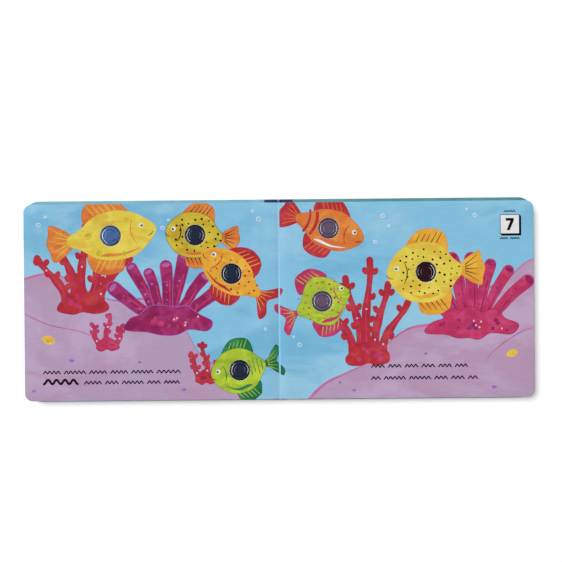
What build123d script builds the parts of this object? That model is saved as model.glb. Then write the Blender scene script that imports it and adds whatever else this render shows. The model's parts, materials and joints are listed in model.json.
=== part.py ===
from build123d import *
import os
from math import sqrt

# A board book lying open at its middle spread: two stacks of thick board leaves inside a hard case,
# with press-and-click plastic poppers trapped in the two open pages.
# Millimetres. X runs along the open book, to the right-hand fore edge; Y to the head; Z up.
# The origin is the middle of the book's underside, so the gutter lies on x = 0.

# ---- leaves ----
page_w = 255.0          # gutter to fore edge
page_h = 196.5          # tail to head
page_corner_r = 8.0     # the two corners at the fore edge
leaf_t = 2.8            # one board leaf
leaf_count = 4          # leaves in each half
groove_w = 0.3          # parting line between two leaves
groove_d = 0.8          # how deep the parting line goes in from the edge

# ---- gutter ----
valley_w = 12.0         # the pages start to dip this far from the fold
valley_d = 1.2          # depth of the dip in the top page, at the fold
fold_gap = 0.1          # between the two halves at the fold of the open spread
page_gap = 1.5          # air between the facing pages of the closed book, held by the poppers

# ---- case ----
board_t = 2.0           # cover board
overhang = 4.0          # cover beyond the page's fore edge
overhang_ends = 3.75    # cover beyond the page's head and tail
cover_corner_r = 15.0
cover_edge_r = 0.7      # rounding of the wrapped board's edges
spine_t = 0.5           # lined paper spine, folded upwards between the two halves
spine_fold_gap = 0.3    # between the two legs of the folded spine
spine_clear = 0.05      # between a leg and the leaves
spine_lift = 0.4        # the spine's lower edges stand off the table
spine_top_clear = 0.2   # between the spine's fold and the open spread
hinge_gap = 0.5         # between a leg and the cover board beside it

# ---- poppers ----
popper_r = 10.0         # the cap seen in the page
popper_rise = 1.2       # the cap's middle above the page
popper_travel = 1.0
popper_clear = 0.3      # round the cap and round its flange
popper_slack = 0.05     # above and below the flange
popper_wall = 0.8
flange_out = 1.8        # the flange beyond the cap
flange_t = 0.7
lip_t = 0.9             # page left above the flange
shoulder_rise = 0.55    # outer ring of the cap above the page
shoulder_in = 1.5       # the outer ring's crest lies this far in from the rim
disc_r = 5.6            # raised middle disc
disc_edge_r = 0.35
left_head_in = 31.75    # middles of the two upper left caps, in from the head edge
left_tail_in = 29.25    # middle of the lowest left cap, in from the tail edge
right_head_in = 26.25   # middle of the upper right cap, in from the head edge

# ---- sizes that follow ----
stack_face = spine_fold_gap / 2 + spine_t + spine_clear     # leaves' back edges, from x = 0
page_top = board_t + leaf_count * leaf_t
cover_w = page_w + overhang
cover_h = page_h + 2 * overhang_ends
cover_in = spine_fold_gap / 2 + spine_t + hinge_gap         # cover board's inner edge, from x = 0
hinge_z = page_top + page_gap / 2
flange_top = page_top - lip_t - popper_slack
flange_r = popper_r + flange_out
pocket_floor = flange_top - flange_t - popper_travel - popper_slack
left_poppers = [
    (-168.0, page_h / 2 - left_head_in),
    (-83.5, page_h / 2 - left_head_in),
    (-47.5, 27.5),
    (-40.0, left_tail_in - page_h / 2),
]
right_poppers = [(50.0, page_h / 2 - right_head_in), (43.0, -1.0), (147.0, 27.5)]


def surface(k):
    """Height, drop at the fold and arc radius of the face above leaf k."""
    drop = valley_d * k / leaf_count
    radius = (valley_w**2 + drop**2) / (2 * drop) if drop else 0.0
    return board_t + k * leaf_t, drop, radius


def height(k, x):
    """Height of the face above leaf k at distance x from the fold."""
    z, drop, radius = surface(k)
    if not drop or x >= valley_w:
        return z
    return z - (radius - sqrt(radius**2 - (valley_w - x) ** 2))


def top_edges(k, x_in, x_out, up):
    """The face above leaf k, moved up, as edges in XZ from x_in to x_out."""
    start, bend, end = ((x, height(k, x) + up) for x in (x_in, valley_w, x_out))
    if not k:
        return [Line(start, end)]
    middle = (x_in + valley_w) / 2
    return [
        ThreePointArc(start, (middle, height(k, middle) + up), bend),
        Line(bend, end),
    ]


def slab(k_low, up_low, k_high, up_high, x_in, x_out, half_h):
    """Board between two faces, x_in to x_out and 2 x half_h long, on the right-hand side."""
    low = top_edges(k_low, x_in, x_out, up_low)
    high = top_edges(k_high, x_in, x_out, up_high)
    ends = [Line(low[0] @ 0, high[0] @ 0), Line(low[-1] @ 1, high[-1] @ 1)]
    face = make_face(low + high + ends)
    placed = Plane.XZ.offset(-half_h) * face
    return extrude(placed, amount=2 * half_h)


def outline(x_out, half_h, corner_r, z_low, z_high):
    """Upright prism from the gutter to x_out with two round corners at the fore edge."""
    box = Pos(0, 0, z_low) * Box(
        x_out, 2 * half_h, z_high - z_low, align=(Align.MIN, Align.CENTER, Align.MIN)
    )
    outer = box.edges().filter_by(Axis.Z).group_by(Axis.X)[-1]
    return fillet(outer, corner_r)


def stack():
    """The right-hand half of the leaves, without popper pockets."""
    whole = outline(page_w, page_h / 2, page_corner_r, 0, page_top + 5)
    inner = outline(
        page_w - groove_d, page_h / 2 - groove_d, page_corner_r - groove_d, 0, page_top + 5
    )
    leaves = []
    for k in range(1, leaf_count + 1):
        low = groove_w / 2 if k > 1 else 0.0
        high = -groove_w / 2 if k < leaf_count else 0.0
        # the open spread's sheet reaches the fold, over the spine
        x_in = fold_gap / 2 if k == leaf_count else stack_face
        leaves.append(slab(k - 1, low, k, high, x_in, page_w, page_h / 2) & whole)
    half_leaf = leaf_t / 2
    core = slab(0, half_leaf, leaf_count - 1, half_leaf, stack_face, page_w, page_h / 2) & inner
    return leaves[0].fuse(*leaves[1:], core)


def cover():
    """The right-hand cover board."""
    board = outline(cover_w, cover_h / 2, cover_corner_r, 0, board_t)
    board -= Box(2 * cover_in, 2 * cover_h, 4 * board_t)
    rims = board.faces().sort_by(Axis.Z)
    inner_x = cover_in + 1e-3
    edges = [
        e
        for f in (rims[0], rims[-1])
        for e in f.edges()
        if e.center().X > inner_x
    ]
    return fillet(edges, cover_edge_r)


def pocket(x, y):
    """What is cut from the page for one popper."""
    base = (Align.CENTER, Align.CENTER, Align.MIN)
    hole = Pos(x, y, pocket_floor) * Cylinder(
        popper_r + popper_clear, page_top + 1 - pocket_floor, align=base
    )
    room = Pos(x, y, pocket_floor) * Cylinder(
        flange_r + popper_clear, page_top - lip_t - pocket_floor, align=base
    )
    return hole + room


def popper(x, y):
    """A flanged cap: an outer ring, a shallow dip and a raised middle disc, hollow below."""
    crest_r = popper_r - shoulder_in
    dip_z = page_top + shoulder_rise / 2
    disc_z = page_top + popper_rise
    low_z = flange_top - flange_t
    skin = Polyline(
        (0, low_z),
        (flange_r, low_z),
        (flange_r, flange_top),
        (popper_r, flange_top),
        (popper_r, page_top + shoulder_rise / 3),
    )
    ring = Spline(
        skin @ 1,
        (crest_r, page_top + shoulder_rise),
        (disc_r + 0.9, dip_z),
        tangents=((0, 1), (-1, -0.1)),
    )
    rise = Polyline(ring @ 1, (disc_r, dip_z), (disc_r, disc_z - disc_edge_r))
    edge = ThreePointArc(
        rise @ 1,
        (disc_r - 0.3 * disc_edge_r, disc_z - 0.3 * disc_edge_r),
        (disc_r - disc_edge_r, disc_z),
    )
    top = Line(edge @ 1, (0, disc_z))
    axis = Line(top @ 1, (0, low_z))
    face = make_face([skin, ring, rise, edge, top, axis])
    cap = revolve(Plane.XZ * face, Axis.Z)
    base = (Align.CENTER, Align.CENTER, Align.MIN)
    wide = Pos(0, 0, low_z - 1) * Cylinder(
        popper_r - popper_wall, dip_z - popper_wall - low_z + 1, align=base
    )
    tall = Pos(0, 0, low_z - 1) * Cylinder(
        disc_r - popper_wall, disc_z - popper_wall - low_z + 1, align=base
    )
    return Pos(x, y, 0) * (cap - wide - tall)


def spine():
    """The spine strip, folded upwards in the middle, its two legs side by side."""
    top = height(leaf_count - 1, stack_face) + groove_w / 2 - spine_top_clear
    outer_x = spine_fold_gap / 2 + spine_t
    high = top - spine_lift
    at = Pos(0, 0, spine_lift)
    base = (Align.CENTER, Align.CENTER, Align.MIN)
    strip = at * Box(2 * outer_x, cover_h, high, align=base)
    strip = fillet(strip.edges().filter_by(Axis.Y).group_by(Axis.Z)[-1], 0.9 * spine_t)
    slot = Pos(0, 0, 0) * Box(
        spine_fold_gap, 2 * cover_h, high + spine_lift - spine_t, align=base
    )
    return strip - slot


right_pages = stack()
left_pages = mirror(right_pages, about=Plane.YZ)
for spot in right_poppers:
    right_pages -= pocket(*spot)
for spot in left_poppers:
    left_pages -= pocket(*spot)
back_cover = cover()

parts = {
    "right_pages": right_pages,
    "left_pages": left_pages,
    "back_cover": back_cover,
    "front_cover": mirror(back_cover, about=Plane.YZ),
    "spine": spine(),
}
for number, spot in enumerate(left_poppers + right_poppers, 1):
    parts[f"popper_{number}"] = popper(*spot)

os.makedirs("parts", exist_ok=True)
for name, shape in parts.items():
    export_step(shape, f"parts/{name}.step")
    print(name, round(shape.volume, 1), shape.bounding_box())
print("closing axis z", hinge_z, "cover hinge x", cover_in)
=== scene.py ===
import json
import math
import random

import bmesh
import bpy
import numpy as np
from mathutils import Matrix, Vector
from mathutils.geometry import delaunay_2d_cdt

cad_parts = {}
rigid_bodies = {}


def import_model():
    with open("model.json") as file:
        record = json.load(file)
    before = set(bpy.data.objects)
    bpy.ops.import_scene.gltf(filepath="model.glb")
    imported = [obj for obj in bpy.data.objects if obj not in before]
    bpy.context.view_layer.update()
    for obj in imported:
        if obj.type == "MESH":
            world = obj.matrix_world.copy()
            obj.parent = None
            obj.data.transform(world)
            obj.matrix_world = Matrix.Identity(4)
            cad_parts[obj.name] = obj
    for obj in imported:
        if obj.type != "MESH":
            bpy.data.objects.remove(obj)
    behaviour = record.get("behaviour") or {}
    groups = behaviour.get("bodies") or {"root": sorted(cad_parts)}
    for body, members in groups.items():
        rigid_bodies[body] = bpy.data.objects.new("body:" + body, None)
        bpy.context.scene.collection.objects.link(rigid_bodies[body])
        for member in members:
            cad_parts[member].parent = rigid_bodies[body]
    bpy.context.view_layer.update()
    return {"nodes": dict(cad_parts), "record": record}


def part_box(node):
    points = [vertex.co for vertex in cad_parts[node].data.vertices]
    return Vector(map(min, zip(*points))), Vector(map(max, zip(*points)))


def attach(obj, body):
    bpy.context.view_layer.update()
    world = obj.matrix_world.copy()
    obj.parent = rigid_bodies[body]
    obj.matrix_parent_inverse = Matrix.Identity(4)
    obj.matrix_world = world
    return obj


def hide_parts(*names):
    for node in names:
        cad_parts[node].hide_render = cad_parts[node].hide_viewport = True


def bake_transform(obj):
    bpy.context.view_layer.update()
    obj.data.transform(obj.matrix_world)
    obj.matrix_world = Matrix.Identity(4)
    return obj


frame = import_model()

bl_info = {
    "name": "Board Book",
    "version": (1, 0, 0),
    "blender": (4, 5, 0),
    "location": "View3D > Sidebar > Board Book",
    "description": "Dresses an open board book with printed leaves, a hard case and click-in caps",
    "category": "Add Mesh",
}

MM = 0.001

# ---- sizes read from the frame, in millimetres ----
PAGE_LOW, PAGE_HIGH = (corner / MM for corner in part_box("right_pages"))
COVER_LOW, COVER_HIGH = (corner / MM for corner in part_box("back_cover"))
SPINE_LOW, SPINE_HIGH = (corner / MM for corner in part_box("spine"))
PAGE_W, PAGE_HALF, PAGE_TOP = PAGE_HIGH.x, PAGE_HIGH.y, PAGE_HIGH.z
FOLD_X = PAGE_LOW.x
BOARD_T, COVER_W, COVER_HALF = COVER_HIGH.z, COVER_HIGH.x, COVER_HIGH.y
COVER_IN = COVER_LOW.x
CAP_FLANGE = 1.8  # a cap's hidden flange beyond its rim
CAP_NODES = sorted(n for n in frame["nodes"] if n.startswith("popper_"))
CAP_SLOT = {s["node"]: s["material_slot"] for s in frame["record"]["subparts"]}


def cap_centre(node):
    """Middle of a cap on the spread, in millimetres."""
    low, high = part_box(node)
    middle = (low + high) / 2 / MM
    return middle.x, middle.y


# ---------------------------------------------------------------- settings


def colour_prop(name, description, rgb):
    """A colour setting, given as sRGB 0 to 255."""
    return bpy.props.FloatVectorProperty(
        name=name,
        description=description,
        subtype="COLOR",
        size=3,
        min=0,
        max=1,
        default=[linear(c / 255) for c in rgb],
    )


def number_prop(name, description, value, **more):
    return bpy.props.FloatProperty(name=name, description=description, default=value, **more)


def length_prop(name, description, millimetres):
    return number_prop(name, description, millimetres * MM, unit="LENGTH")


def linear(c):
    """An sRGB value as linear light."""
    return c / 12.92 if c <= 0.04045 else ((c + 0.055) / 1.055) ** 2.4


class BookLeafSettings(bpy.types.PropertyGroup):
    corner: length_prop("Corner radius", "Round of a leaf's fore-edge corners", 8.0)
    groove_w: length_prop("Parting width", "Line between two leaves", 0.3)
    groove_d: length_prop("Parting depth", "Depth of the line between two leaves", 0.8)
    edge: length_prop("Edge round", "Softening of the die-cut edges", 0.28)
    valley_w: length_prop("Dip width", "Where the pages start to dip to the gutter", 12.0)
    valley_d: length_prop("Dip depth", "Depth of the dip at the gutter", 1.2)
    inner: length_prop("Back edge", "Back edges of the lower leaves from the gutter", 0.7)
    hole: length_prop("Cap hole", "Radius of the hole round a cap", 10.3)
    pocket: length_prop("Cap pocket", "Radius of the pocket that traps a cap's flange", 12.1)
    pocket_floor: length_prop("Pocket depth", "Depth of the pocket below the page", 2.7)
    lip: length_prop("Lip", "Page left above a cap's flange", 0.9)
    leaves: bpy.props.IntProperty(name="Leaves", description="Leaves in each half", default=4, min=1)


class BookPrintSettings(bpy.types.PropertyGroup):
    water: colour_prop("Water", "Printed water", (131, 190, 221))
    water_pale: colour_prop("Pale water", "Pale washes in the water", (150, 199, 224))
    water_deep: colour_prop("Deep water", "Brush strokes in the water", (112, 176, 211))
    sand: colour_prop("Seabed", "Printed seabed", (179, 153, 184))
    sand_pale: colour_prop("Pale seabed", "Pale washes in the seabed", (189, 165, 195))
    sand_deep: colour_prop("Pink seabed", "Pink washes in the seabed", (180, 144, 175))
    contour: colour_prop("Dune line", "Brushed line along the dunes", (186, 108, 158))
    red: colour_prop("Red", "Red weed and fins", (180, 46, 54))
    magenta: colour_prop("Magenta", "Magenta weed", (146, 38, 90))
    pink: colour_prop("Pink", "Pink weed and shells", (190, 54, 96))
    yellow: colour_prop("Yellow", "Yellow bodies", (218, 198, 74))
    olive: colour_prop("Olive yellow", "Olive yellow bodies", (196, 176, 56))
    gold: colour_prop("Gold", "Golden bodies", (222, 164, 56))
    orange: colour_prop("Orange", "Orange bodies and fins", (214, 122, 58))
    lime: colour_prop("Lime", "Lime bodies", (166, 190, 56))
    green: colour_prop("Green", "Green fins", (34, 116, 70))
    ink: colour_prop("Ink", "Dark ink", (14, 8, 15))
    paper: colour_prop("Paper", "Unprinted white", (228, 227, 228))
    violet: colour_prop("Violet", "Violet glazes", (146, 108, 184))
    # the crease colour is a lighter blue strip laid along the gutter fold
    crease: colour_prop("Crease", "Rubbed laminate along the gutter", (150, 203, 233))


class BookCaseSettings(bpy.types.PropertyGroup):
    corner: length_prop("Corner radius", "Round of the cover's fore-edge corners", 15.0)
    edge: length_prop("Edge round", "Rounding of the wrapped board's edges", 0.7)
    turn_in: length_prop("Turn-in", "Width of the wrap turned over the board", 14.0)
    wrap_left: colour_prop("Front turn-in", "Wrap along the front cover", (118, 168, 186))
    wrap_right: colour_prop("Back turn-in", "Wrap along the back cover", (84, 138, 142))
    navy: colour_prop("Navy", "Wrap near the spine", (40, 62, 98))
    outside: colour_prop("Outside", "Outside of the covers", (56, 128, 158))
    outside_deep: colour_prop("Outside waves", "Wave bands on the covers", (34, 92, 128))
    endpaper: colour_prop("Endpaper", "Lining of the covers", (226, 200, 92))


class BookCapSettings(bpy.types.PropertyGroup):
    blue: colour_prop("Blue", "Blue cap", (72, 104, 162))
    slate: colour_prop("Slate", "Slate caps", (32, 42, 64))
    mauve: colour_prop("Mauve", "Mauve caps", (100, 82, 106))
    maroon: colour_prop("Maroon", "Maroon cap", (42, 14, 24))
    disc: number_prop(
        "Middle disc", "Raised middle disc as a share of the cap", 0.56, subtype="FACTOR", min=0.1, max=0.9
    )


class BookStageSettings(bpy.types.PropertyGroup):
    height: length_prop("Camera height", "Camera above the open pages", 600.0)
    view_w: length_prop("View width", "Width seen at the pages", 561.5)
    aim_x: length_prop("Aim across", "Middle of the view, right of the gutter", 2.4)
    aim_y: length_prop("Aim up", "Middle of the view, above the pages' middle", 19.8)
    lift: length_prop("Camera offset", "Camera towards the head, taken back by the shift", 50.0)
    roll: number_prop("Roll", "Turn of the camera", math.radians(-0.54), subtype="ANGLE")
    floor: colour_prop("Floor", "Plain pale floor", (240, 240, 240))
    floor_glow: number_prop("Floor glow", "Lifts the floor's colour to plain white", 0.15, min=0)
    room: number_prop("Room light", "Even light from all round", 0.15, min=0)
    key: number_prop("Key lamp", "Strength of the large far lamp", 3.3, min=0)
    key_spread: number_prop(
        "Key spread", "How wide the far lamp looks from the book", math.radians(30), subtype="ANGLE"
    )
    strips: number_prop("Strip lamps", "Power of the two gloss strips, in watts", 42.0, min=0)


SETTINGS = (
    ("book_leaves", BookLeafSettings),
    ("book_print", BookPrintSettings),
    ("book_case", BookCaseSettings),
    ("book_caps", BookCapSettings),
    ("book_stage", BookStageSettings),
)

# ---------------------------------------------------------------- node groups


def new_group(name, inputs):
    """A shared effect with its inputs' defaults; it gives a colour, a roughness and a height."""
    group = bpy.data.node_groups.new(name, "ShaderNodeTree")
    for socket, value in inputs.items():
        kind = "NodeSocketFloat" if isinstance(value, float) else "NodeSocketColor"
        group.interface.new_socket(socket, in_out="INPUT", socket_type=kind).default_value = value
    for socket, kind in (("Color", "Color"), ("Roughness", "Float"), ("Height", "Float")):
        group.interface.new_socket(socket, in_out="OUTPUT", socket_type="NodeSocket" + kind)
    return group, group.nodes.new("NodeGroupInput").outputs, group.nodes.new("NodeGroupOutput").inputs


def give(group, out, *values):
    """Link the effect's colour, roughness and height."""
    for value, socket in zip(values, out):
        group.links.new(value, socket)
    return group


def feed(group, value, socket):
    """Set a socket to a plain value, or link another socket to it."""
    if isinstance(value, bpy.types.NodeSocket):
        group.links.new(value, socket)
    else:
        socket.default_value = value


def noise(group, scale, detail, rough, stretch=(1, 1, 1), turn=0.0, distort=0.0, place=None):
    """A noise texture on the piece's own coordinates, in millimetres."""
    where = group.nodes.new("ShaderNodeTexCoord")
    mapping = group.nodes.new("ShaderNodeMapping")
    texture = group.nodes.new("ShaderNodeTexNoise")
    mapping.inputs["Scale"].default_value = [s / MM for s in stretch]
    mapping.inputs["Rotation"].default_value = (0, 0, turn)
    if place is not None:
        away = group.nodes.new("ShaderNodeCombineXYZ")
        for axis in "XYZ":
            group.links.new(place, away.inputs[axis])
        group.links.new(away.outputs[0], mapping.inputs["Location"])
    settings = (("Scale", scale), ("Detail", detail), ("Roughness", rough), ("Distortion", distort))
    for socket, value in settings:
        feed(group, value, texture.inputs[socket])
    group.links.new(where.outputs["Object"], mapping.inputs["Vector"])
    group.links.new(mapping.outputs["Vector"], texture.inputs["Vector"])
    return texture.outputs["Fac"]


def spread(group, value, low, high, to_low=0.0, to_high=1.0):
    """Map value from low..high to another range, with no overshoot."""
    node = group.nodes.new("ShaderNodeMapRange")
    node.interpolation_type = "SMOOTHSTEP"
    ends = ("From Min", low), ("From Max", high), ("To Min", to_low), ("To Max", to_high)
    for socket, end in (("Value", value), *ends):
        feed(group, end, node.inputs[socket])
    return node.outputs["Result"]


def mix(group, factor, a, b):
    """Blend two colours."""
    node = group.nodes.new("ShaderNodeMix")
    node.data_type = "RGBA"
    usable = [s for s in node.inputs if s.enabled and s.type != "VECTOR"]
    for name, value in (("Factor", factor), ("A", a), ("B", b)):
        feed(group, value, next(s for s in usable if s.name == name))
    return next(s for s in node.outputs if s.enabled)


def maths(group, kind, a, b):
    """One step of arithmetic on two values."""
    node = group.nodes.new("ShaderNodeMath")
    node.operation = kind
    for socket, value in zip(node.inputs, (a, b)):
        feed(group, value, socket)
    return node.outputs[0]


PATCH_LOW, PATCH_HIGH = 0.44, 0.62
STROKE_LOW, STROKE_HIGH = 0.48, 0.62
STROKE_TURN = math.radians(24)


def wash_group():
    """Printed watercolour: pale and deep washes, brush strokes and paint grain under a laminate."""
    washes = {"Wash": (0.5, 0.5, 0.5, 1), "Pale wash": (0.7, 0.7, 0.7, 1), "Deep wash": (0.3, 0.3, 0.3, 1)}
    amounts = {"Patches per mm": 0.03, "Place": 0.0, "Pale amount": 1.0, "Deep amount": 1.0}
    group, given, out = new_group("Watercolour wash", washes | amounts)
    scale, place = given["Patches per mm"], given["Place"]
    patches = spread(group, noise(group, scale, 4, 0.6, distort=0.6, place=place), PATCH_LOW, PATCH_HIGH)
    brushed = noise(group, scale, 5, 0.58, (0.8, 1.8, 1), STROKE_TURN, 0.5, place)
    strokes = spread(group, brushed, STROKE_LOW, STROKE_HIGH)
    grain = spread(group, noise(group, 0.9, 3, 0.7), 0.25, 0.75, 0.965, 1.035)
    bristle = spread(group, noise(group, 0.35, 4, 0.7, (0.25, 3, 1), STROKE_TURN), 0.35, 0.7, 0.97, 1.03)
    pale = maths(group, "MULTIPLY", patches, given["Pale amount"])
    deep = maths(group, "MULTIPLY", strokes, given["Deep amount"])
    colour = mix(group, pale, given["Wash"], given["Pale wash"])
    colour = mix(group, deep, colour, given["Deep wash"])
    toned = group.nodes.new("ShaderNodeVectorMath")
    toned.operation = "SCALE"
    group.links.new(colour, toned.inputs[0])
    group.links.new(maths(group, "MULTIPLY", grain, bristle), toned.inputs["Scale"])
    sheen = spread(group, noise(group, 0.05, 3, 0.6), 0.3, 0.7, 0.30, 0.38)
    return give(group, out, toned.outputs["Vector"], sheen, noise(group, 1.6, 2, 0.5))


def core_group():
    """Cut edge of pressed board: grey-white plies and flecks of fibre."""
    fibres = {"Fibre": (0.68, 0.66, 0.62, 1), "Dark fibre": (0.46, 0.44, 0.41, 1)}
    group, given, out = new_group("Board core", fibres)
    plies = spread(group, noise(group, 0.5, 5, 0.7, (0.12, 0.12, 7)), 0.35, 0.7)
    flecks = spread(group, noise(group, 2.5, 3, 0.6, (0.4, 0.4, 2)), 0.60, 0.72)
    both = maths(group, "MAXIMUM", maths(group, "MULTIPLY", plies, 0.55), flecks)
    colour = mix(group, both, given["Fibre"], given["Dark fibre"])
    return give(group, out, colour, spread(group, plies, 0, 1, 0.72, 0.86), plies)


def tint_group():
    """Moulded tinted plastic with faint flow marks, and painted shade: darker at the rim where the cap meets
    its hole and in the groove round the raised middle disc.
    """
    tints = {"Tint": (0.1, 0.1, 0.2, 1), "Rim tint": (0.02, 0.02, 0.04, 1), "Radius": 0.0}
    group, given, out = new_group("Moulded tint", tints)
    radius = given["Radius"]
    # painted shade: the rim where the cap meets its hole, and the groove round the middle disc, darken
    # towards the shade tint
    rim = spread(group, radius, 0.84, 0.97)
    step = spread(group, radius, 0.52, 0.60, 0.0, 0.35)
    fall = spread(group, radius, 0.62, 0.74, 0.35, 0.0)
    painted_shade = maths(group, "MAXIMUM", rim, maths(group, "MINIMUM", step, fall))
    flow = spread(group, noise(group, 0.22, 3, 0.6), 0.35, 0.7, 0.0, 0.18)
    colour = mix(group, painted_shade, given["Tint"], given["Rim tint"])
    colour = mix(group, flow, colour, given["Rim tint"])
    rough = spread(group, noise(group, 0.6, 2, 0.6), 0.3, 0.7, 0.10, 0.17)
    return give(group, out, colour, rough, noise(group, 0.5, 2, 0.5))


GROUPS = {}


def group_for(name):
    """The shared effect, made the first time that a material asks for it."""
    if name not in GROUPS:
        GROUPS[name] = {"wash": wash_group, "core": core_group, "tint": tint_group}[name]()
    return GROUPS[name]


# ---------------------------------------------------------------- materials


def effect_material(name, effect, values, bump, distance, **shader):
    """A Principled material fed by one shared effect, with its own values."""
    material = bpy.data.materials.new(name)
    material.use_nodes = True
    tree = material.node_tree
    bsdf = tree.nodes["Principled BSDF"]
    node = tree.nodes.new("ShaderNodeGroup")
    node.node_tree = group_for(effect)
    for key, value in values.items():
        node.inputs[key].default_value = value if isinstance(value, float) else (*value, 1)
    tree.links.new(node.outputs["Color"], bsdf.inputs["Base Color"])
    tree.links.new(node.outputs["Roughness"], bsdf.inputs["Roughness"])
    dent = tree.nodes.new("ShaderNodeBump")
    dent.inputs["Strength"].default_value = bump
    dent.inputs["Distance"].default_value = distance * MM
    tree.links.new(node.outputs["Height"], dent.inputs["Height"])
    tree.links.new(dent.outputs["Normal"], bsdf.inputs["Normal"])
    for key, value in shader.items():
        bsdf.inputs[key.replace("_", " ")].default_value = value
    return material, node


def shifted(rgb, lift, tilt=(0, 0, 0)):
    """A lighter or darker neighbour of a colour."""
    return tuple(min(1.0, max(0.0, c * lift + t)) for c, t in zip(rgb, tilt))


def print_material(key, wash, pale, deep, patches=0.05, pale_amount=0.7, deep_amount=0.6, place=0.0):
    material, _ = effect_material(
        "Print " + key,
        "wash",
        {
            "Wash": wash,
            "Pale wash": pale,
            "Deep wash": deep,
            "Patches per mm": patches,
            "Place": place,
            "Pale amount": pale_amount,
            "Deep amount": deep_amount,
        },
        0.12,
        0.02,
        Specular_IOR_Level=0.26,
    )
    return material


PIGMENTS = {
    # colour: how its pale and deep washes lean, as (lift, red, green, blue)
    "contour": ((1.12, 0.02, 0.02, 0.02), (0.78, 0.0, 0.0, 0.0)),
    "red": ((1.12, 0.04, 0.03, 0.03), (0.72, 0.0, 0.0, 0.02)),
    "magenta": ((1.20, 0.08, 0.02, 0.07), (0.70, 0.0, 0.0, 0.0)),
    "pink": ((1.08, 0.04, 0.03, 0.06), (0.74, 0.0, 0.0, 0.02)),
    "yellow": ((1.06, 0.03, 0.06, 0.04), (0.88, 0.05, -0.12, -0.02)),
    "olive": ((1.10, 0.05, 0.05, 0.0), (0.72, 0.04, -0.06, -0.01)),
    "gold": ((1.08, 0.04, 0.08, 0.02), (0.88, 0.02, -0.12, 0.0)),
    "orange": ((1.06, 0.05, 0.10, 0.02), (0.86, 0.0, -0.06, 0.0)),
    "lime": ((1.12, 0.10, 0.08, 0.0), (0.72, -0.05, -0.02, 0.0)),
    "green": ((1.25, 0.02, 0.06, 0.02), (0.62, 0.0, 0.0, 0.0)),
    "ink": ((1.2, 0.0, 0.0, 0.0), (0.8, 0.0, 0.0, 0.0)),
    "paper": ((1.02, 0.0, 0.0, 0.0), (0.95, 0.0, 0.0, 0.0)),
    "violet": ((1.12, 0.02, 0.02, 0.02), (0.80, 0.0, 0.0, 0.0)),
}


def print_materials():
    """Every printed colour of the spread, by its short name."""
    look = bpy.context.scene.book_print
    made = {
        "water": print_material("water", look.water, look.water_pale, look.water_deep, 0.010, 0.9, 0.85),
        "sand": print_material("sand", look.sand, look.sand_pale, look.sand_deep, 0.014, 0.85, 0.8),
        # a lighter blue strip along the gutter fold
        "crease": print_material(
            "crease", look.crease, shifted(look.crease, 1.1), look.water_pale, 0.08, 0.5, 0.3
        ),
    }
    for i, (key, (pale, deep)) in enumerate(PIGMENTS.items()):
        base = tuple(getattr(look, key))
        washes = [shifted(base, lift, lean) for lift, *lean in (pale, deep)]
        made[key] = print_material(key, base, *washes, 0.06, 0.75, 0.55, 7.3 * i)
    made["core"], _ = effect_material("Board core", "core", {}, 0.35, 0.05)
    return made


# ---------------------------------------------------------------- drawing the print


def hand(points, amount, seed):
    """The closed outline as a brush would leave it: slow wobbles, never the same twice."""
    draw = random.Random(seed)
    waves = [(draw.randint(2, 9), draw.uniform(0, math.tau), draw.uniform(0.3, 1)) for _ in "abcd"]
    count = len(points)
    cx = sum(p[0] for p in points) / count
    cy = sum(p[1] for p in points) / count
    made = []
    for i, (x, y) in enumerate(points):
        angle = math.tau * i / count
        push = amount * sum(a * math.sin(k * angle + phase) for k, phase, a in waves) / 2
        far = math.hypot(x - cx, y - cy) or 1
        made.append((x + (x - cx) / far * push, y + (y - cy) / far * push))
    return made


def smooth(points, closed=True, step=1.3):
    """A smooth line through the points, about one point each step."""
    count = len(points)
    made = []
    for i in range(count if closed else count - 1):
        near = (i - 1, i, i + 1, i + 2)
        p = [points[j % count] if closed else points[min(max(j, 0), count - 1)] for j in near]
        parts = max(2, round(math.dist(p[1][:2], p[2][:2]) / step))
        for t in (j / parts for j in range(parts)):
            made.append(tuple(
                0.5 * (2 * b + (c - a) * t + (2 * a - 5 * b + 4 * c - d) * t * t
                       + (3 * b - a - 3 * c + d) * t**3)
                for a, b, c, d in zip(*p)
            ))
    return made if closed else made + [tuple(points[-1])]


def oval(x, y, rx, ry=None, turn=0.0, count=28):
    """An ellipse's outline, or a circle's."""
    ry = rx if ry is None else ry
    c, s = math.cos(turn), math.sin(turn)
    angles = [math.tau * i / count for i in range(count)]
    ring = [(rx * math.cos(a), ry * math.sin(a)) for a in angles]
    return [(x + c * u - s * v, y + s * u + c * v) for u, v in ring]


def ribbon(points):
    """Outline of a brushed ribbon through (x, y, width) points, with round ends."""
    line = smooth(points, closed=False, step=1.5)
    left, right = [], []
    for i, (x, y, w) in enumerate(line):
        ax, ay = line[max(i - 1, 0)][:2]
        bx, by = line[min(i + 1, len(line) - 1)][:2]
        long = math.hypot(bx - ax, by - ay) or 1
        nx, ny = -(by - ay) / long, (bx - ax) / long
        half = max(w, 0.1) / 2
        left.append((x + nx * half, y + ny * half))
        right.append((x - nx * half, y - ny * half))

    def round_end(centre, start):
        radius = math.dist(centre, start)
        angle = math.atan2(start[1] - centre[1], start[0] - centre[0])
        turned = [angle - math.pi * i / 6 for i in range(1, 6)]
        return [(centre[0] + radius * math.cos(a), centre[1] + radius * math.sin(a)) for a in turned]

    tip = round_end(line[-1][:2], left[-1])
    root = round_end(line[0][:2], right[0])
    return left + tip + right[::-1] + root


def grow(outline, far):
    """The outline moved outwards by far."""
    count = len(outline)
    area = sum(outline[i - 1][0] * outline[i][1] - outline[i][0] * outline[i - 1][1] for i in range(count))
    out = math.copysign(far, area)
    made = []
    for i, (x, y) in enumerate(outline):
        ax, ay = outline[i - 1]
        bx, by = outline[(i + 1) % count]
        long = math.hypot(bx - ax, by - ay) or 1
        made.append((x + (by - ay) / long * out, y - (bx - ax) / long * out))
    return made


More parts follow.
